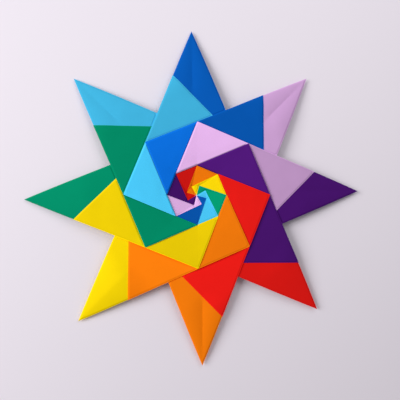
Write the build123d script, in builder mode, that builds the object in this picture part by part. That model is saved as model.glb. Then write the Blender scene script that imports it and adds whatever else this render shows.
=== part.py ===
from build123d import *
import os
from math import cos, sin, sqrt, tan, radians

# A flat eight-pointed star, folded from eight square sheets of coloured paper.
# Every sheet makes one point and, beside it, a pocket that grips the next point clockwise.
# Millimetres, +Z up. The origin lies under the middle of the star, level with its lowest paper.

# Driving sizes
SHEET = 150.0               # side of the square sheet
POINT_EDGE = 171.0          # from a tip, along its straight edge, to the far ring corner
MOUTH = 48.0                # from a tip, along the same edge, to the mouth of the pocket
PAPER = 0.16                # thickness of one layer
SLACK = 0.10                # air that stays between two layers
POINT_STEP = 0.70           # how much each point lies over the one before it
WINDOW_STEP = 0.32          # the same for the leaves inside the window
RING_DROP = 5.0             # how far the ring sinks towards the rim
RIM_FALL = 1.5              # height of the turned-down edge at the rim
WINDOW_DROP = 4.5           # how far the window sinks towards its middle
EYE_RADIUS = 9.75           # where the leaves of the window turn flat
EYE_TWIST = 74.4            # degrees that they have swirled round by then
EYE_HOLE = 0.8              # radius of the hole left at the very middle
EYE_GAP = 4.0               # degrees that each facet keeps from its neighbours at that hole
TUCK = 6.0                  # what a ring flap hides under its neighbour
SLIT = 0.5                  # between the two raw edges behind a point

UNITS = 8
TURN = 360 / UNITS
HALF = radians(TURN / 2)
QUARTER = SHEET / 4         # the width of the strips that cross in the ring
RING = QUARTER * sqrt(2) / (2 * sin(HALF))
RIM = RING * tan(HALF)
WRAP = SLACK + PAPER        # how far a fold stands outside the edge that it wraps
LIFT = PAPER + SLACK        # from a point up to the flap that lies on it
CORNER = 0.6                # what folds are cut back where corners meet

# Levels of the underside of each layer
WINDOW_LEVEL = WINDOW_DROP
RIM_LEVEL = WINDOW_LEVEL + RIM_FALL
POINT_LEVEL = RIM_LEVEL + RING_DROP - LIFT


def polar(radius, degrees):
    return (radius * cos(radians(degrees)), radius * sin(radians(degrees)))


def turned(point, degrees):
    c, s = cos(radians(degrees)), sin(radians(degrees))
    return (point[0] * c - point[1] * s, point[0] * s + point[1] * c)


def along(start, end, distance):
    length = sqrt((end[0] - start[0]) ** 2 + (end[1] - start[1]) ** 2)
    share = distance / length
    return (start[0] + (end[0] - start[0]) * share, start[1] + (end[1] - start[1]) * share)


def shifted(point, degrees, distance):
    step = polar(distance, degrees)
    return (point[0] + step[0], point[1] + step[1])


def crossing(start_a, degrees_a, start_b, degrees_b):
    ax, ay = polar(1, degrees_a)
    bx, by = polar(1, degrees_b)
    dx, dy = start_b[0] - start_a[0], start_b[1] - start_a[1]
    reach = (dx * by - dy * bx) / (ax * by - ay * bx)
    return (start_a[0] + ax * reach, start_a[1] + ay * reach)


def slope_through(first, second, third):
    # The height z = a x + b y + c of the plane through three points in space
    ux, uy, uz = (second[i] - first[i] for i in range(3))
    vx, vy, vz = (third[i] - first[i] for i in range(3))
    area = ux * vy - uy * vx
    a = (uz * vy - uy * vz) / area
    b = (ux * vz - uz * vx) / area
    return lambda p: first[2] + a * (p[0] - first[0]) + b * (p[1] - first[1])


def layer(outline, height, thickness):
    # One flat facet of paper: an outline seen from above, on a sloping plane
    corners = [Vector(x, y, height((x, y))) for x, y in outline]
    normal = (corners[1] - corners[0]).cross(corners[2] - corners[0])
    if normal.Z < 0:
        normal = -normal
    facet = Plane(origin=corners[0], x_dir=corners[1] - corners[0], z_dir=normal)
    with BuildSketch(facet) as face:
        with BuildLine():
            Polyline(*[facet.to_local_coords(corner) for corner in corners], close=True)
        make_face()
    extrude(face.sketch, amount=thickness, dir=(0, 0, 1))


# The unit whose point looks along +Y, by its corners seen from above.
# Its straight edge runs from the tip through ring corners LEFT and FAR_LEFT.
TOP, LEFT, FAR_LEFT = (polar(RING, 90 + TURN * i) for i in range(3))
EDGE_DIRECTION = 90 - TURN / 2
OTHER_DIRECTION = 90 + TURN / 2
OUTWARD = EDGE_DIRECTION + 90
TIP = shifted(FAR_LEFT, EDGE_DIRECTION, POINT_EDGE)
NEXT_EDGE = EDGE_DIRECTION - TURN                   # the next point's straight edge
SIDE = crossing(TIP, OTHER_DIRECTION, TOP, NEXT_EDGE)


def point_plane(p):
    # Points rise one step from each to the next, so the ring of eight closes on itself
    return POINT_LEVEL - POINT_STEP * (p[0] + p[1]) / RING


def carried(height, offset):
    # A plane that belongs to the next point, seen from this unit
    return lambda p: height(turned(p, TURN)) + offset


def make_point():
    # The front of the point, and the two halves folded flat behind it
    layer([TIP, LEFT, TOP, SIDE], point_plane, PAPER)
    axis = TIP[0]
    middle = crossing(TIP, 270, TOP, NEXT_EDGE)
    behind = lambda p: point_plane(p) - PAPER
    left_top = crossing((axis - SLIT / 2, 0), 90, TIP, EDGE_DIRECTION)
    left_foot = crossing((axis - SLIT / 2, 0), 90, TOP, NEXT_EDGE)
    right_top = crossing((axis + SLIT / 2, 0), 90, TIP, OTHER_DIRECTION)
    right_foot = crossing((axis + SLIT / 2, 0), 90, middle, NEXT_EDGE)
    layer([left_top, LEFT, left_foot], behind, PAPER)
    layer([right_top, right_foot, SIDE], behind, PAPER)


def make_pocket():
    # The pocket for the next point: its back, the fold round the straight edge, and its front.
    # All are drawn on a point that looks along +Y, and turned onto the next one.
    mouth_edge = along(TIP, FAR_LEFT, MOUTH)
    mouth = shifted(mouth_edge, OUTWARD, WRAP)
    ledge = shifted(TOP, NEXT_EDGE + 90, WRAP + SLACK)
    mouth_foot = crossing(mouth, 270 + TURN, ledge, NEXT_EDGE)
    apex = crossing(shifted(LEFT, OUTWARD, WRAP), EDGE_DIRECTION, ledge, NEXT_EDGE)
    back_foot = crossing(mouth, 270 + TURN, TOP, NEXT_EDGE)
    back_apex = crossing(shifted(LEFT, OUTWARD, WRAP), EDGE_DIRECTION, TOP, NEXT_EDGE)
    corner = along(FAR_LEFT, LEFT, CORNER)
    fold = [
        shifted(corner, OUTWARD, SLACK), shifted(mouth_edge, OUTWARD, SLACK),
        mouth, shifted(corner, OUTWARD, WRAP),
    ]
    hem = [corner, mouth_edge, mouth, shifted(corner, OUTWARD, WRAP)]
    here = lambda outline: [turned(p, -TURN) for p in outline]
    layer(here([back_apex, mouth, back_foot]), carried(point_plane, -POINT_STEP), PAPER)
    layer(here(fold), carried(point_plane, -POINT_STEP), POINT_STEP + LIFT + PAPER)
    layer(here(hem), carried(point_plane, LIFT), PAPER)
    layer(here([apex, mouth, mouth_foot]), carried(point_plane, LIFT), PAPER)


def make_ring_flap():
    # The right-angled flap between the straight edge and the rim of the window
    rim_top, rim_left, rim_far = (polar(RIM, 90 + TURN * i) for i in range(3))
    front = carried(point_plane, LIFT)
    top = (*TOP, front(TOP))
    left = (*LEFT, front(LEFT))
    near = (*rim_left, RIM_LEVEL)
    far = (*rim_far, RIM_LEVEL + WINDOW_STEP)
    hidden = (*rim_top, RIM_LEVEL - WINDOW_STEP)
    layer([TOP, LEFT, rim_left], slope_through(top, left, near), PAPER)
    layer([LEFT, rim_left, rim_far], slope_through(left, near, far), PAPER)
    tuck = [TOP, rim_left, along(rim_left, rim_top, TUCK), along(TOP, rim_top, TUCK)]
    layer(tuck, slope_through(top, near, hidden), PAPER)


def make_window_leaf():
    # The edge turned down at the rim, and the leaf that swirls under two others to the light
    inset = WRAP + SLACK
    rim_line = [polar(RIM, 90 + TURN), polar(RIM, 90 + 2 * TURN)]
    wall_ends = [along(*rim_line, CORNER), along(*reversed(rim_line), CORNER)]
    inward = 270 + TURN * 1.5
    wall = wall_ends + [shifted(end, inward, PAPER) for end in reversed(wall_ends)]
    crest = slope_through(
        (*rim_line[0], RIM_LEVEL), (*rim_line[1], RIM_LEVEL + WINDOW_STEP),
        (*shifted(rim_line[0], inward, inset), RIM_LEVEL))
    layer(wall, lambda p: crest(p) - RIM_FALL, RIM_FALL + PAPER)

    outer_radius = RIM - inset / cos(HALF)
    outer = [polar(outer_radius, 90 + TURN * (i + 1)) for i in range(4)]
    inner = [polar(EYE_RADIUS, 90 + TURN * (i + 1) + EYE_TWIST) for i in range(4)]
    high = [(*p, WINDOW_LEVEL + WINDOW_STEP * i) for i, p in enumerate(outer)]
    low = [(*p, WINDOW_STEP * i) for i, p in enumerate(inner)]
    for i in range(3):
        fall = slope_through(high[i], high[i + 1], low[i])
        layer([outer[i], outer[i + 1], inner[i]], fall, PAPER)
        fall = slope_through(high[i + 1], low[i + 1], low[i])
        layer([outer[i + 1], inner[i + 1], inner[i]], fall, PAPER)
    margin = slope_through(high[0], high[1], low[0])
    layer([*wall_ends, outer[1], outer[0]], margin, PAPER)

    # The small facet round the middle, seen between the swirled edges
    eye = slope_through(low[2], low[3], (0, 0, 0))
    start = EYE_TWIST + 90 + 3 * TURN
    hole = [polar(EYE_HOLE, start + EYE_GAP), polar(EYE_HOLE, start + TURN - EYE_GAP)]
    layer([inner[2], inner[3], hole[1], hole[0]], eye, PAPER)


COLOURS = (
    "dark_blue_unit", "lilac_unit", "purple_unit", "red_unit",
    "orange_unit", "yellow_unit", "green_unit", "sky_blue_unit",
)

with BuildPart() as folded_unit:
    make_point()
    make_pocket()
    make_ring_flap()
    make_window_leaf()

os.makedirs("parts", exist_ok=True)
for index, colour in enumerate(COLOURS):
    with BuildPart() as unit:
        add(folded_unit.part, rotation=(0, 0, -TURN * index))
    unit.part.label = colour
    export_step(unit.part, "parts/" + colour + ".step")
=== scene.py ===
# %% [markdown]
# This lesson dresses a folded paper star. Eight square sheets of coloured paper lock into one
# another: each makes a point, a pocket for the next point, a flap of the ring and a leaf of the
# swirled window. The packed model holds the eight sheets as solids with their real folds. What is
# added here is the finish and the softness of real paper, so the first step is to load that model.

# %% Load the packed star
import bmesh
import bpy
from math import cos, radians, sin, sqrt, tan
from types import SimpleNamespace
from mathutils import Matrix, Vector


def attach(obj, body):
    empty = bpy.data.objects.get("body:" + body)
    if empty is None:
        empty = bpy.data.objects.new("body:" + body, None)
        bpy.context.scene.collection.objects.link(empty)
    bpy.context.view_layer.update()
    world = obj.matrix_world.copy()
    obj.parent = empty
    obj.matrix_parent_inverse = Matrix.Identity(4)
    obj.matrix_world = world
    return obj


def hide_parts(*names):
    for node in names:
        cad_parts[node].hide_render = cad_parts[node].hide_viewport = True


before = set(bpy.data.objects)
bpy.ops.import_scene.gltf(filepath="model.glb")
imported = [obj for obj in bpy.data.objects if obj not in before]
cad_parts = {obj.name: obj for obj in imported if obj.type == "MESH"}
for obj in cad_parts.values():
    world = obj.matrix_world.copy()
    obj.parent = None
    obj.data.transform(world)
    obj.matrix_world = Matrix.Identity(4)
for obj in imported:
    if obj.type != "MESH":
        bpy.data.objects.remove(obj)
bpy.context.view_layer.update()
print("sheets:", sorted(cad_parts))

# %% [markdown]
# The camera comes first, because every later choice is judged through it. The tips and the ring's
# corners can be found in the photograph, and a camera that sees all of them in the right places
# stands half a metre up and leans a little from the lower left. Its direction is written as one
# turn, by its parts about X, Y and Z.

# %% Camera at the photograph's viewing angle
IMAGE_SIDE = 400
FOCAL_PIXELS = 523.3
SENSOR = 36.0
CAMERA_PLACE = (-0.0545, -0.0350, 0.4996)
CAMERA_TURN = (-3.50, 6.59, 0.28)        # degrees, as the camera sees the star turned


def make_camera():
    data = bpy.data.cameras.new("photo_camera")
    data.sensor_width = SENSOR
    data.lens = FOCAL_PIXELS / IMAGE_SIDE * SENSOR
    camera = bpy.data.objects.new("photo_camera", data)
    turn = Vector([radians(v) for v in CAMERA_TURN])
    star_turn = Matrix.Rotation(turn.length, 4, turn.normalized())
    camera.matrix_world = Matrix.Translation(CAMERA_PLACE) @ star_turn.inverted()
    bpy.context.scene.collection.objects.link(camera)
    bpy.context.scene.camera = camera
    return camera


camera = make_camera()
print("camera lens:", round(camera.data.lens, 1), "mm")

# %% [markdown]
# Both the finish and the softness of the paper are worked out by node trees. Sums are hard to
# read when every plus and minus is a node with links, so a small helper comes first. A Field is a
# number that varies from spot to spot, and adding or multiplying two of them puts the right node
# into the tree. A comparison gives 1 where it holds and 0 elsewhere. It works alike in a shader
# and in Geometry Nodes.

# %% A number that varies from spot to spot
def new_node(tree, kind, **settings):
    node = tree.nodes.new(kind)
    for name, value in settings.items():
        setattr(node, name, value)
    return node


def feed(tree, socket, term):
    if isinstance(term, Field):
        tree.links.new(term.socket, socket)
    else:
        socket.default_value = term


def sum_of(tree, operation, *terms):
    node = new_node(tree, "ShaderNodeMath", operation=operation)
    for socket, term in zip(node.inputs, terms):
        feed(tree, socket, term)
    return Field(tree, node.outputs[0])


class Field:
    def __init__(self, tree, socket):
        self.tree = tree
        self.socket = socket

    def then(self, operation, *terms):
        return sum_of(self.tree, operation, self, *terms)

    def __add__(self, other):
        return self.then("ADD", other)

    def __sub__(self, other):
        return self.then("SUBTRACT", other)

    def __rsub__(self, other):
        return sum_of(self.tree, "SUBTRACT", other, self)

    def __mul__(self, other):
        return self.then("MULTIPLY", other)

    def __truediv__(self, other):
        return self.then("DIVIDE", other)

    def __gt__(self, other):
        return self.then("GREATER_THAN", other)

    def __lt__(self, other):
        return self.then("LESS_THAN", other)


print("a field knows", sum(callable(part) for part in vars(Field).values()), "functions")

# %% [markdown]
# Three more helpers are used again and again. A soft step goes from one value to another without
# a corner, a choice takes one value inside a mask and another outside it, and noise gives every
# spot a random value that its neighbours almost share.

# %% Soft steps, choices and noise
def eased(field, low, high, start=0.0, end=1.0):
    node = new_node(field.tree, "ShaderNodeMapRange", interpolation_type="SMOOTHSTEP")
    terms = {"Value": field, "From Min": low, "From Max": high, "To Min": start, "To Max": end}
    for name, term in terms.items():
        feed(field.tree, node.inputs[name], term)
    return Field(field.tree, node.outputs["Result"])


def chosen(mask, inside, outside):
    return mask * (inside - outside) + outside


def noise_at(tree, place, per_metre, detail, distortion=0.0):
    node = new_node(tree, "ShaderNodeTexNoise")
    tree.links.new(place, node.inputs["Vector"])
    node.inputs["Scale"].default_value = per_metre
    node.inputs["Detail"].default_value = detail
    node.inputs["Distortion"].default_value = distortion
    return Field(tree, node.outputs["Fac"])


print("helpers:", ", ".join(helper.__name__ for helper in (eased, chosen, noise_at)))

# %% [markdown]
# Paper has next to no gloss, but it isn't one flat colour either. Dye takes unevenly, in soft
# clouds, and fibres a fraction of a millimetre wide catch the light. An image could show both,
# but noise on the object's own coordinates needs no file and never repeats. Each sheet also
# carries painted shading, which later says how bright its fields are drawn beside one another,
# in place of the light and shade their tilts would get.

# %% Clouds of dye and fine fibres
CLOUDS_PER_METRE = 95.0
CLOUD_DETAIL = 3.0
FIBRES_PER_METRE = 1500.0
FIBRE_DETAIL = 2.0
FIBRE_CURL = 1.2
FIBRES_IN_COLOUR = 0.35                           # beside clouds of 1
MEAN_UNEVENNESS = (1 + FIBRES_IN_COLOUR) / 2


def attribute(tree, name):
    node = new_node(tree, "ShaderNodeAttribute", attribute_name=name)
    return Field(tree, node.outputs["Fac"])


def dye_and_painted_shading(tree, clouds, fibres, cloudiness):
    uneven = fibres * FIBRES_IN_COLOUR + clouds - MEAN_UNEVENNESS
    # painted shading: each field's brightness, drawn in place of the light and shade its tilt
    # would get
    tone = attribute(tree, "tone")
    return uneven * cloudiness * tone + tone


print("a cloud is about", round(1000 / CLOUDS_PER_METRE), "mm wide, and a fibre",
      round(1000 / FIBRES_PER_METRE, 1), "mm")

# %% [markdown]
# Folds and cut edges are drawn a little lighter, partly because handling wears the dye off them
# and partly as a painted highlight where their rounding catches the light. Where one sheet lies on
# another, a thin line is painted dark as shade, because hardly any light gets in. Both need to
# know how far a spot is from the next edge, and the softening further down stores that on each
# sheet. A soft rise away from the edge goes to the bump, so that folds look rounded and not razor
# sharp.

# %% Edges lightened by wear and painted highlight, painted crevice shade, rounded folds
# lighter edges, partly wear and partly painted highlight: how wide, and how much lighter
WEAR_AND_HIGHLIGHT_WIDTH = 0.0010
WEAR_AND_HIGHLIGHT_LIFT = 1.16
CREVICE_END = 0.0011
CREVICE_START = CREVICE_END / 3
# painted shade: the share of its colour a sheet keeps in the crevice line under its neighbour
CREVICE_PAINTED_SHADE = 0.45
ROUNDED_WIDTH = 0.0016
FIBRES_IN_HEIGHT = 0.12


# lighter edges: partly worn dye, partly a painted highlight
def edge_wear_and_highlight(tree):
    return eased(attribute(tree, "edge_distance"), 0.0, WEAR_AND_HIGHLIGHT_WIDTH, WEAR_AND_HIGHLIGHT_LIFT, 1.0)


# painted shade along the line where a neighbour covers a sheet
def crevice_shade(tree):
    return eased(attribute(tree, "cover_distance"), CREVICE_START, CREVICE_END, CREVICE_PAINTED_SHADE, 1.0)


def fold_height(tree, fibres):
    rounded = eased(attribute(tree, "edge_distance"), 0.0, ROUNDED_WIDTH)
    return fibres * FIBRES_IN_HEIGHT + rounded


print("edges are worn over", WEAR_AND_HIGHLIGHT_WIDTH * 1000, "mm")

# %% [markdown]
# All eight sheets share these effects, so they go into one node group. It takes the dye's colour
# and gives back a colour, a roughness and a height, and the shader itself stays in each material.

# %% The node group for dyed paper
SMOOTHEST = 0.62
ROUGHEST = 0.80


def make_paper_group():
    group = bpy.data.node_groups.new("dyed_paper", "ShaderNodeTree")
    for name, way, kind in (("Dye", "INPUT", "Color"), ("Cloudiness", "INPUT", "Float"),
                            ("Colour", "OUTPUT", "Color"), ("Roughness", "OUTPUT", "Float"),
                            ("Height", "OUTPUT", "Float")):
        group.interface.new_socket(name, in_out=way, socket_type="NodeSocket" + kind)
    enter = new_node(group, "NodeGroupInput")
    leave = new_node(group, "NodeGroupOutput")
    place = new_node(group, "ShaderNodeTexCoord").outputs["Object"]
    clouds = noise_at(group, place, CLOUDS_PER_METRE, CLOUD_DETAIL)
    fibres = noise_at(group, place, FIBRES_PER_METRE, FIBRE_DETAIL, FIBRE_CURL)
    cloudiness = Field(group, enter.outputs["Cloudiness"])
    strength = dye_and_painted_shading(group, clouds, fibres, cloudiness)
    shade = new_node(group, "ShaderNodeHueSaturation")
    group.links.new(enter.outputs["Dye"], shade.inputs["Color"])
    # the value holds the uneven dye, each field's painted shading, the lighter edges and the
    # painted crevice shade
    feed(group, shade.inputs["Value"], strength * edge_wear_and_highlight(group) * crevice_shade(group))
    group.links.new(shade.outputs["Color"], leave.inputs["Colour"])
    feed(group, leave.inputs["Roughness"], fibres * (ROUGHEST - SMOOTHEST) + SMOOTHEST)
    feed(group, leave.inputs["Height"], fold_height(group, fibres))
    return group


paper_group = make_paper_group()
print("sockets of the paper group:", [s.name for s in paper_group.interface.items_tree])

# %% [markdown]
# The eight sheets run round the rainbow. Each colour is written as it looks on a screen and is
# turned into linear light for the shader. The values were set by rendering the star, looking at
# the middle of each point beside the photograph, and correcting the colour until the two agreed.

# %% Eight paper colours
SCREEN_COLOURS = {
    "dark_blue": (7, 92, 186),
    "lilac": (210, 166, 216),
    "purple": (75, 22, 113),
    "red": (231, 27, 22),
    "orange": (255, 129, 12),
    "yellow": (255, 221, 7),
    "green": (1, 144, 105),
    "sky_blue": (66, 181, 224),
}


def linear(screen):
    share = screen / 255
    return share / 12.92 if share <= 0.04045 else ((share + 0.055) / 1.055) ** 2.4


print("linear lilac:", [round(linear(v), 3) for v in SCREEN_COLOURS["lilac"]])

# %% [markdown]
# Each material holds the group with its own dye, a bump that reads the height, and a shader with
# very little shine, because origami paper is matt.

# %% Eight paper materials
CLOUDINESS = 0.06
SHINE = 0.02
EDGE_ROUNDING = 0.00042


def make_paper(name, screen):
    material = bpy.data.materials.new(name + "_paper")
    material.use_nodes = True
    tree = material.node_tree
    shader = tree.nodes["Principled BSDF"]
    shader.inputs["Specular IOR Level"].default_value = SHINE
    paper = new_node(tree, "ShaderNodeGroup", node_tree=paper_group)
    paper.inputs["Dye"].default_value = (*[linear(v) for v in screen], 1.0)
    paper.inputs["Cloudiness"].default_value = CLOUDINESS
    bump = new_node(tree, "ShaderNodeBump")
    bump.inputs["Distance"].default_value = EDGE_ROUNDING
    bump.inputs["Strength"].default_value = 1.0
    tree.links.new(paper.outputs["Colour"], shader.inputs["Base Color"])
    tree.links.new(paper.outputs["Roughness"], shader.inputs["Roughness"])
    tree.links.new(paper.outputs["Height"], bump.inputs["Height"])
    tree.links.new(bump.outputs["Normal"], shader.inputs["Normal"])
    return material


papers = {name: make_paper(name, screen) for name, screen in SCREEN_COLOURS.items()}
print("papers:", ", ".join(papers))

# %% [markdown]
# A folded sheet isn't truly flat: its points arch and sag, and the ring turns softly. Every push
# below depends only on where a spot lies seen from above, and on its sheet, so that layers that
# lie on each other bend together and don't cut into each other. Geometry Nodes suit this, because
# the rule repeats eight times round and its sizes stay inputs. First come the sizes of the folded
# star itself, worked out from the side of the square sheet as in the packed model.

# %% Sizes of the folded star
EIGHTH = radians(45)
SIXTEENTH = radians(22.5)
SHEET = 0.150
RING = SHEET / 4 * sqrt(2) / (2 * sin(SIXTEENTH))     # to a corner of the ring's octagon
RIM = RING * tan(SIXTEENTH)                           # to a corner of the window's rim
RING_SIDE = RING * cos(SIXTEENTH)                     # to the middle of an octagon side
RIM_SIDE = RIM * cos(SIXTEENTH)
TIP_REACH = 0.1582                                    # from the middle to a tip
TIP_ALONG = 0.15798                                   # the same, along the point's own axis
AXIS_PLACE = -0.00385                                 # a point's axis passes beside the middle
POINT_LEVEL = 0.01074
POINT_STEP = 0.00070                                  # how much each point lies over the last
print("ring radius:", round(RING * 1000, 2), "mm, rim radius:", round(RIM * 1000, 2), "mm")

# %% [markdown]
# The named inputs of the tree are of two kinds. Some are the same for every sheet, and some
# belong to one sheet: its place round the star, and the shape of its own point and of the next
# one, because its pocket lies round the next point and has to bend with it. In the rules that
# follow, size("Tip Sag") stands for whatever is fed to the input of that name.

# %% Inputs of the softening tree
SHARED_SIZES = {
    "Axis Place": AXIS_PLACE,
    "Tip Sag": 0.0030,
    "Tip Sag All Round": 0.0075,
    "Sag Direction": radians(150),
    "Ring Turn": 0.050,
    "Ring Softness": 0.012,
    "Ripple": 0.00035,
    "Flap Dip": 0.0003,
    "Dip Width": 0.0070,
    "Points Drop": 0.0009,
    "Drop Ease": 0.012,
    "Tip Draw": 0.0024,
}
# of a sheet's own inputs, the flap, ring and window ones are painted shading, one brightness for
# each field
SHEET_SIZES = ("Point Azimuth", "Own Arch", "Own Roof", "Next Arch", "Next Roof",
               "Flap Tone", "Ring Tone", "Window Tone", "Crevice Shift")


def add_inputs(tree):
    face = tree.interface
    face.new_socket("Geometry", in_out="INPUT", socket_type="NodeSocketGeometry")
    ids = {}
    for name in (*SHARED_SIZES, *SHEET_SIZES):
        socket = face.new_socket(name, in_out="INPUT", socket_type="NodeSocketFloat")
        ids[name] = socket.identifier
    socket = face.new_socket("Paper", in_out="INPUT", socket_type="NodeSocketMaterial")
    ids["Paper"] = socket.identifier
    face.new_socket("Geometry", in_out="OUTPUT", socket_type="NodeSocketGeometry")
    return ids


print("inputs:", len(SHARED_SIZES), "shared and", len(SHEET_SIZES), "for each sheet")

# %% [markdown]
# A spot is found by its distance and direction from the middle. The star repeats every eighth of
# a turn, so its place along and beside the nearest point's axis matters too, and its distance
# from the nearest corner of its own sheet in the ring.

# %% Where a spot lies, seen from above
def off_nearest_eighth(angle):
    return angle - (angle / EIGHTH).then("ROUND") * EIGHTH


def find_spot(tree, size):
    split = new_node(tree, "ShaderNodeSeparateXYZ")
    tree.links.new(new_node(tree, "GeometryNodeInputPosition").outputs[0], split.inputs[0])
    x, y, z = (Field(tree, split.outputs[axis]) for axis in "XYZ")
    radius = (x * x + y * y).then("SQRT")
    angle = y.then("ARCTAN2", x)
    off_axis = off_nearest_eighth(angle)
    off_side = off_nearest_eighth(angle - SIXTEENTH)
    aside = radius * off_axis.then("SINE")
    azimuth = size("Point Azimuth")
    return SimpleNamespace(
        x=x, y=y, z=z, radius=radius, angle=angle, azimuth=azimuth, aside=aside,
        outward=radius * off_axis.then("COSINE"),
        side_reach=radius * off_side.then("COSINE"),
        from_axis=(aside + size("Axis Place")).then("ABSOLUTE"),
        from_corner_x=x - azimuth.then("COSINE") * RING,
        from_corner_y=y - azimuth.then("SINE") * RING,
    )


print("an eighth of a turn:", round(EIGHTH, 3), "radians")

# %% [markdown]
# Each point was first folded in half and opened again. Its two halves are slightly arched, and
# the crease between them lies low on some points and stands up like a roof on the yellow one.
# Both shapes are written as a share of the point's half width, so they fade out at the tip.

# %% Arched halves and the crease of a point
RELIEF_START = RING * 1.25
RELIEF_FULL = RING * 1.55
NARROWEST = 0.0001
ARCH_PEAK = 4.0                                       # makes across * (1 - across) reach 1


def point_relief(spot, size):
    half_width = ((TIP_ALONG - spot.outward) * tan(SIXTEENTH)).then("MAXIMUM", NARROWEST)
    across = (spot.from_axis / half_width).then("MINIMUM", 1.0)
    own = (spot.angle - spot.azimuth).then("COSINE") > cos(SIXTEENTH)
    arch = chosen(own, size("Own Arch"), size("Next Arch"))
    roof = chosen(own, size("Own Roof"), size("Next Roof"))
    shape = across * ARCH_PEAK * arch + roof
    return half_width * (1.0 - across) * (shape * eased(spot.outward, RELIEF_START, RELIEF_FULL))


print("points are arched from", round(RELIEF_START * 1000), "mm outwards")

# %% [markdown]
# Only the middle of the star is stiff, so the tips sag towards the table, a little more on the
# side that it leans to. A tip that hangs lower also looks nearer to the middle, so the points
# are drawn out by 2.4 millimetres, to end where the photograph has them.

# %% Sagging tips
SAG_END = TIP_REACH * 1.4
DRAW_START = RING * 0.9


def tip_sag(spot, size):
    lean = (spot.angle - size("Sag Direction")).then("COSINE") * 0.5 + 0.5
    return eased(spot.radius, RING, SAG_END) * (lean * size("Tip Sag") + size("Tip Sag All Round"))


def tip_draw(spot, size):
    return eased(spot.radius, DRAW_START, TIP_REACH) * size("Tip Draw") / spot.radius


print("tips are drawn out by", SHARED_SIZES["Tip Draw"] * 1000, "mm")

# %% [markdown]
# In the solids the ring turns sharply from one side of the octagon to the next. Paper turns over
# a few millimetres instead, so the ring is raised most at those corners and less beside them. A
# slow ripple of a few tenths of a millimetre keeps wide facets from looking machined.

# %% Soft turns and a slow ripple
RING_FADE_IN = 0.014
RING_FADE_OUT = 0.016
RIPPLES_PER_METRE = 14.0
RIPPLE_DETAIL = 1.0
RIPPLE_MIDDLE = 0.6


def ring_turn(spot, size):
    softness = size("Ring Softness")
    smooth = (spot.aside * spot.aside + softness * softness).then("SQRT")
    rounded = smooth - spot.aside.then("ABSOLUTE")
    fade = (eased(spot.radius, RIM, RIM + RING_FADE_IN)
            * (1.0 - eased(spot.radius, RING - RING_FADE_OUT, RING)))
    return rounded * size("Ring Turn") * fade


def slow_ripple(tree, spot, size):
    flat = new_node(tree, "ShaderNodeCombineXYZ")
    feed(tree, flat.inputs["X"], spot.x)
    feed(tree, flat.inputs["Y"], spot.y)
    noise = noise_at(tree, flat.outputs[0], RIPPLES_PER_METRE, RIPPLE_DETAIL)
    return (noise - RIPPLE_MIDDLE) * (size("Ripple") * eased(spot.radius, RIM, RING))


print("a ripple is about", round(1000 / RIPPLES_PER_METRE), "mm long")

# %% [markdown]
# The fold round the ring stands on the thickest stack of paper, and the points hang from it a
# little lower. At each corner of the octagon the sheet is held by its neighbour, so there the
# drop fades out on the layers that lie above the point's own plane.

# %% Points that hang under the fold of the ring
FOLD_WIDTH = 0.00032
ABOVE_POINT = 0.0006
CORNER_BLEND = 0.3


def points_drop(spot, size):
    along_slope = spot.radius * (spot.angle - spot.azimuth + EIGHTH).then("COSINE")
    plane = along_slope * (-POINT_STEP * sqrt(2) / RING) + POINT_LEVEL
    above = spot.z - plane > ABOVE_POINT
    x, y = spot.from_corner_x, spot.from_corner_y
    from_corner = (x * x + y * y).then("SQRT") / size("Drop Ease")
    near_corner = 1.0 - from_corner.then("SMOOTH_MIN", 1.0, CORNER_BLEND)
    beyond = spot.side_reach > RING_SIDE + FOLD_WIDTH
    on_fold = (spot.side_reach > RING_SIDE - FOLD_WIDTH) * (1.0 - above)
    outside = beyond.then("MAXIMUM", on_fold)
    return outside * (1.0 - above * near_corner) * size("Points Drop")


print("points hang", SHARED_SIZES["Points Drop"] * 1000, "mm under the fold")

# %% [markdown]
# In the ring every sheet slips under its clockwise neighbour. It dips a little along that line,
# and the distance from the line is stored for the painted shade of the crevice. The light leaves
# some of these lines dark and others pale, so a shift for each sheet makes its painted shade
# weaker or takes it away.

# %% Where a neighbour covers a sheet
COVER_DIRECTION = radians(67.5)
DIP_START = 0.006
DIP_FADE = 0.005
DIP_STOP = 0.001
COVER_MARGIN = 0.0002


def from_cover(spot):
    direction = spot.azimuth + COVER_DIRECTION
    return (spot.from_corner_x * direction.then("COSINE")
            + spot.from_corner_y * direction.then("SINE"))


def flap_dip(spot, size):
    dip = 1.0 - eased(from_cover(spot) / size("Dip Width"), 0.0, 1.0)
    inside = (eased(spot.side_reach, RIM, RIM + DIP_START)
              * (1.0 - eased(spot.side_reach, RING_SIDE - DIP_FADE, RING_SIDE - DIP_STOP)))
    return dip * size("Flap Dip") * inside


# distance that places the painted crevice shade
def cover_distance(spot, size):
    on_ring = ((spot.side_reach < RING_SIDE - COVER_MARGIN)
               * (spot.side_reach > RIM_SIDE - COVER_MARGIN))
    return from_cover(spot).then("ABSOLUTE") + (1.0 - on_ring) + size("Crevice Shift")


print("a sheet dips over", SHARED_SIZES["Dip Width"] * 1000, "mm beside the one that covers it")

# %% [markdown]
# A sheet shows four fields: its point, its flap on the next point, its side of the ring and its
# leaf of the window. A star folded by hand tilts each of them a little in its own way, and even
# light shows that. The model is regular, so each field gets painted shading, drawn lighter or
# darker to stand for the light and shade of those tilts.

# %% The painted shading of each field of a sheet
FLAP_DIRECTION = radians(-157.5)


# painted shading: the flap, the ring side and the window leaf are each drawn lighter or darker
def painted_field_shading(spot, size):
    direction = spot.azimuth + FLAP_DIRECTION
    past = spot.x * direction.then("COSINE") + spot.y * direction.then("SINE")
    outer = chosen(past > -RING_SIDE, size("Flap Tone"), 1.0)
    middle = chosen(spot.side_reach < RIM_SIDE, size("Window Tone"), size("Ring Tone"))
    return chosen(spot.side_reach < RING_SIDE, middle, outer)


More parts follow.
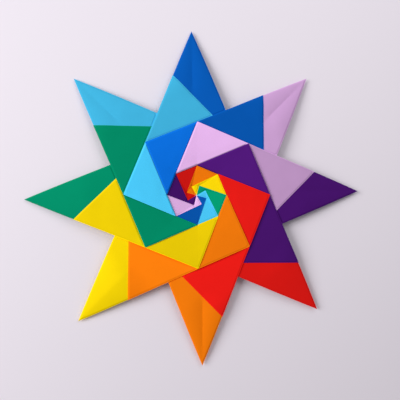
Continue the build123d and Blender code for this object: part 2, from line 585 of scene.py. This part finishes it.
print("the ring side of a sheet starts", round(RING_SIDE * 1000, 1), "mm from the middle")

# %% [markdown]
# Worn edges need the distance to the nearest fold or cut edge. Those are the edges where faces
# meet at a steep angle. The slit behind a point is left out, because it doesn't show in front.

# %% How far a spot is from an edge
STEEP = radians(60)
SLIT_REACH = 0.0006


def edge_distance(tree, geometry, spot):
    bend = Field(tree, new_node(tree, "GeometryNodeInputMeshEdgeAngle").outputs["Unsigned Angle"])
    off_slit = (spot.from_axis > SLIT_REACH).then("MAXIMUM", spot.outward < RING_SIDE)
    edges = new_node(tree, "GeometryNodeSeparateGeometry", domain="EDGE")
    tree.links.new(geometry, edges.inputs["Geometry"])
    feed(tree, edges.inputs["Selection"], (bend > STEEP) * off_slit)
    nearby = new_node(tree, "GeometryNodeProximity", target_element="EDGES")
    tree.links.new(edges.outputs[0], nearby.inputs[0])
    return Field(tree, nearby.outputs["Distance"])


print("an edge bends by more than", round(STEEP, 2), "radians")

# %% [markdown]
# The tree does two things with these rules. It stores what the paper's finish and its painted
# shading read as named attributes on the mesh, and it moves every spot by the sum of all the
# pushes.

# %% Store an attribute, and move every spot
def stored(tree, geometry, name, domain, field):
    node = new_node(tree, "GeometryNodeStoreNamedAttribute", data_type="FLOAT", domain=domain)
    tree.links.new(geometry, node.inputs["Geometry"])
    node.inputs["Name"].default_value = name
    feed(tree, node.inputs["Value"], field)
    return node.outputs[0]


def moved(tree, geometry, spot, size):
    up = ring_turn(spot, size) + slow_ripple(tree, spot, size) + point_relief(spot, size)
    down = tip_sag(spot, size) + points_drop(spot, size) + flap_dip(spot, size)
    draw = tip_draw(spot, size)
    push = new_node(tree, "ShaderNodeCombineXYZ")
    for axis, term in (("X", spot.x * draw), ("Y", spot.y * draw), ("Z", up - down)):
        feed(tree, push.inputs[axis], term)
    move = new_node(tree, "GeometryNodeSetPosition")
    tree.links.new(geometry, move.inputs["Geometry"])
    tree.links.new(push.outputs[0], move.inputs["Offset"])
    return move.outputs[0]


print("attributes: tone, edge_distance and cover_distance")

# %% [markdown]
# Now the parts come together in one tree. Attributes are stored before anything moves, so that
# they are measured on the flat folds, and the tree ends by making instances real and setting the
# paper.

# %% The tree that softens a folded sheet
def make_softening_tree():
    tree = bpy.data.node_groups.new("soften_folds", "GeometryNodeTree")
    ids = add_inputs(tree)
    enter = new_node(tree, "NodeGroupInput")

    def size(name):
        return Field(tree, enter.outputs[name])

    flat = enter.outputs["Geometry"]
    spot = find_spot(tree, size)
    sheet = stored(tree, flat, "tone", "FACE", painted_field_shading(spot, size))
    sheet = stored(tree, sheet, "edge_distance", "POINT", edge_distance(tree, flat, spot))
    sheet = stored(tree, sheet, "cover_distance", "POINT", cover_distance(spot, size))
    sheet = moved(tree, sheet, spot, size)
    real = new_node(tree, "GeometryNodeRealizeInstances")
    paint = new_node(tree, "GeometryNodeSetMaterial")
    leave = new_node(tree, "NodeGroupOutput")
    tree.links.new(sheet, real.inputs[0])
    tree.links.new(real.outputs[0], paint.inputs["Geometry"])
    tree.links.new(enter.outputs["Paper"], paint.inputs["Material"])
    tree.links.new(paint.outputs[0], leave.inputs["Geometry"])
    return tree, ids


softening_tree, input_ids = make_softening_tree()
print("the tree has", len(softening_tree.nodes), "nodes")

# %% [markdown]
# The packed solids are long flat triangles, which can't bend. A copy of each is merged at its
# corners and cut along the crease of its point, and its long edges are halved until they are only
# a few millimetres. The number of halvings is fixed, because a sliver could go on for ever.

# %% A copy that is fine enough to bend
LONGEST_EDGE = 0.0032
HALVINGS = 6
MERGE = 0.000002


def refined_copy(node, name, azimuth):
    mesh = node.data.copy()
    mesh.name = name
    sheet = bmesh.new()
    sheet.from_mesh(mesh)
    bmesh.ops.remove_doubles(sheet, verts=sheet.verts, dist=MERGE)
    across = Vector((sin(azimuth), -cos(azimuth), 0))
    bmesh.ops.bisect_plane(sheet, geom=sheet.verts[:] + sheet.edges[:] + sheet.faces[:],
                           dist=MERGE, plane_co=across * AXIS_PLACE, plane_no=across)
    bmesh.ops.triangulate(sheet, faces=sheet.faces)
    for _ in range(HALVINGS):
        long_edges = [edge for edge in sheet.edges if edge.calc_length() > LONGEST_EDGE]
        bmesh.ops.subdivide_edges(sheet, edges=long_edges, cuts=1)
        bmesh.ops.triangulate(sheet, faces=sheet.faces)
    sheet.to_mesh(mesh)
    sheet.free()
    return mesh


print("longest edge:", LONGEST_EDGE * 1000, "mm")

# %% [markdown]
# What differs from sheet to sheet stands in three short tables. They were found as the colours
# were, by rendering and comparing. How the light changes across a point tells how far its halves
# are arched, and whether the crease between them lies low or stands up.

# %% What differs from sheet to sheet
POINT_SHAPES = {     # how far each half of a point is arched, and how far its middle stands up
    "dark_blue": (0.045, -0.010),
    "lilac": (0.050, -0.010),
    "purple": (0.030, -0.005),
    "red": (0.015, 0.040),
    "orange": (0.050, -0.020),
    "yellow": (0.020, 0.150),
    "green": (0.015, 0.040),
    "sky_blue": (0.040, -0.010),
}
# painted shading: how much lighter or darker each field is drawn, standing in for how light falls
# on it
PAINTED_SHADES = {            # flap on the next point, side of the ring, leaf of the window
    "dark_blue": (0.92, 1.67, 0.88),
    "lilac": (0.88, 1.35, 1.30),
    "purple": (0.99, 1.24, 0.95),
    "red": (1.20, 1.02, 0.88),
    "orange": (1.10, 0.89, 0.94),
    "yellow": (0.91, 0.87, 0.98),
    "green": (0.92, 1.01, 1.20),
    "sky_blue": (0.98, 1.46, 1.23),
}
# how far each sheet's painted crevice shade is shifted off its line; a sheet not listed gets none
CREVICE_SHIFTS = {"sky_blue": 0.00020, "dark_blue": 0.0, "lilac": 0.0, "purple": 0.00040}
NO_CREVICE = 1.0


def sheet_sizes(colour):
    order = list(SCREEN_COLOURS)
    place = order.index(colour)
    following = order[(place + 1) % len(order)]
    azimuth = radians(90) - EIGHTH * place
    values = (azimuth, *POINT_SHAPES[colour], *POINT_SHAPES[following], *PAINTED_SHADES[colour],
              CREVICE_SHIFTS.get(colour, NO_CREVICE))
    return dict(zip(SHEET_SIZES, values))


print("the yellow sheet:", {k: round(v, 3) for k, v in sheet_sizes("yellow").items()})

# %% [markdown]
# The inputs are set before the copy is first evaluated, and the softened sheet is read off as a
# plain mesh. It takes the place of its solid, rides on the star's one body, and carries its paper.
# Facets stay crisp where they meet at more than a few degrees.

# %% Soften and hand over each sheet
CRISP = radians(5)


def softened_mesh(node, name, paper, sizes):
    flat = refined_copy(node, name + "_flat", sizes["Point Azimuth"])
    rough = bpy.data.objects.new(flat.name, flat)
    bpy.context.scene.collection.objects.link(rough)
    soften = rough.modifiers.new("soften", "NODES")
    soften.node_group = softening_tree
    for label, value in {**SHARED_SIZES, **sizes, "Paper": paper}.items():
        soften[input_ids[label]] = value
    seen = rough.evaluated_get(bpy.context.evaluated_depsgraph_get())
    mesh = bpy.data.meshes.new_from_object(seen)
    bpy.data.objects.remove(rough)
    mesh.name = name
    mesh.shade_smooth()
    mesh.set_sharp_from_angle(angle=CRISP)
    return mesh


def make_sheet(colour, paper):
    node_name = colour + "_unit"
    name = colour + "_sheet"
    mesh = softened_mesh(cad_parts[node_name], name, paper, sheet_sizes(colour))
    piece = bpy.data.objects.new(name, mesh)
    bpy.context.scene.collection.objects.link(piece)
    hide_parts(node_name)
    colour + "_paper"
    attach(piece, "root")
    return piece


for colour, paper in papers.items():
    sheet = make_sheet(colour, paper)
    print(sheet.name, "triangles:", len(sheet.data.polygons))

# %% [markdown]
# The star lies on a pale sheet with a faint pink cast. Its colour alone makes the background
# bright, so the lamps can stay at a level that suits the paper.

# %% Floor
FLOOR_SIDE = 3.0
FLOOR_SCREEN = (236, 229, 238)
FLOOR_ROUGHNESS = 0.9
FLOOR_SHINE = 0.2


def make_floor():
    material = bpy.data.materials.new("pale_floor")
    material.use_nodes = True
    shader = material.node_tree.nodes["Principled BSDF"]
    shader.inputs["Base Color"].default_value = (*[linear(v) for v in FLOOR_SCREEN], 1.0)
    shader.inputs["Roughness"].default_value = FLOOR_ROUGHNESS
    shader.inputs["Specular IOR Level"].default_value = FLOOR_SHINE
    half = FLOOR_SIDE / 2
    corners = [(-half, -half, 0), (half, -half, 0), (half, half, 0), (-half, half, 0)]
    mesh = bpy.data.meshes.new("floor")
    mesh.from_pydata(corners, [], [(0, 1, 2, 3)])
    mesh.materials.append(material)
    floor = bpy.data.objects.new("floor", mesh)
    bpy.context.scene.collection.objects.link(floor)
    return floor


floor = make_floor()
print(floor.name, "side:", FLOOR_SIDE, "m")

# %% [markdown]
# A large soft lamp at the left stands for the window. It throws thin, soft shadows to the right
# of raised edges and leaves the far corner of the floor a little darker. A small lamp at the
# upper right and an even, nearly white room fill them in, as light from walls does.

# %% Light
ROOM_COLOUR = (1.0, 0.985, 1.0, 1.0)
ROOM_STRENGTH = 0.27


def make_lamp(name, azimuth, height, away, side, power):
    data = bpy.data.lights.new(name, "AREA")
    data.shape = "SQUARE"
    data.size = side
    data.energy = power
    lamp = bpy.data.objects.new(name, data)
    level = away * cos(radians(height))
    place = Vector((level * cos(radians(azimuth)), level * sin(radians(azimuth)),
                    away * sin(radians(height))))
    lamp.location = place
    lamp.rotation_euler = (-place).to_track_quat("-Z", "Y").to_euler()
    bpy.context.scene.collection.objects.link(lamp)
    return lamp


def light_room():
    world = bpy.data.worlds.new("soft_room")
    world.use_nodes = True
    background = world.node_tree.nodes["Background"]
    background.inputs["Color"].default_value = ROOM_COLOUR
    background.inputs["Strength"].default_value = ROOM_STRENGTH
    bpy.context.scene.world = world


make_lamp("window_lamp", azimuth=170, height=36, away=1.40, side=0.85, power=16.9)
make_lamp("wall_lamp", azimuth=60, height=50, away=0.70, side=0.50, power=1.35)
light_room()
bpy.context.scene.view_settings.view_transform = "Standard"
